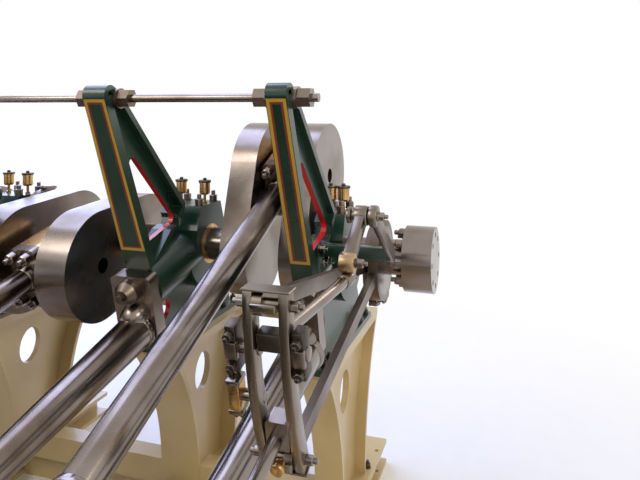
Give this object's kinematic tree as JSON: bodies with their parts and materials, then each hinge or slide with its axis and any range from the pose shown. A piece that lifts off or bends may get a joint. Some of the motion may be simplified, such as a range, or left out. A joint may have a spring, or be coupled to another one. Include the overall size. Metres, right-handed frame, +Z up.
{
  "type": "diagonal triple expansion steam engine",
  "caption": "Inclined triple expansion steam engine with A-shaped main frames, three cranks, expansion link valve gear and a cast bed.",
  "frame": {"origin": "on the floor under the crankshaft's centre line, midway between the outer main frames", "axes": "+X along the crankshaft, +Y from the cylinders towards the crankshaft, +Z up"},
  "size_m": [8, 9.6306, 4.74],
  "materials": {
    "green_paint": "gloss paint",
    "cream_paint": "gloss paint",
    "cylinder_paint": "gloss paint",
    "polished_steel": "polished",
    "brass": "polished"
  },
  "bodies": {
    "root": {"columns": "polished_steel", "high_pressure_crank": "polished_steel", "middle_pressure_crank": "polished_steel", "low_pressure_crank": "polished_steel", "inner_shafts": "polished_steel", "outer_shafts": "polished_steel", "high_pressure_rod": "polished_steel", "middle_pressure_rod": "polished_steel", "low_pressure_rod": "polished_steel", "crossheads": "polished_steel", "piston_rods": "polished_steel", "guide_bars": "polished_steel", "expansion_links": "polished_steel", "valve_spindles": "polished_steel", "tie_rod": "polished_steel", "frame_nuts": "polished_steel", "eccentric_sheaves": "polished_steel", "eccentric_rods": "polished_steel", "reversing_levers": "polished_steel", "drag_links": "polished_steel", "main_bearing_brasses": "brass", "crank_pin_brasses": "brass", "oil_cups": "brass", "main_frame_1": "green_paint", "main_frame_2": "green_paint", "main_frame_3": "green_paint", "main_frame_4": "green_paint", "bearing_caps": "green_paint", "high_pressure_cylinder": "cylinder_paint", "middle_pressure_cylinder": "cylinder_paint", "low_pressure_cylinder": "cylinder_paint", "high_pressure_valve_chest": "cylinder_paint", "middle_pressure_valve_chest": "cylinder_paint", "low_pressure_valve_chest": "cylinder_paint", "cylinder_covers": "cylinder_paint", "steam_pipes": "cylinder_paint", "pedestal_1": "cream_paint", "pedestal_2": "cream_paint", "pedestal_3": "cream_paint", "pedestal_4": "cream_paint", "bed_girders": "cream_paint", "base_cross_beams": "cream_paint", "pedestal_ties": "cream_paint", "cylinder_chairs": "cream_paint", "guide_beam": "cream_paint"}
  },
  "joints": []
}
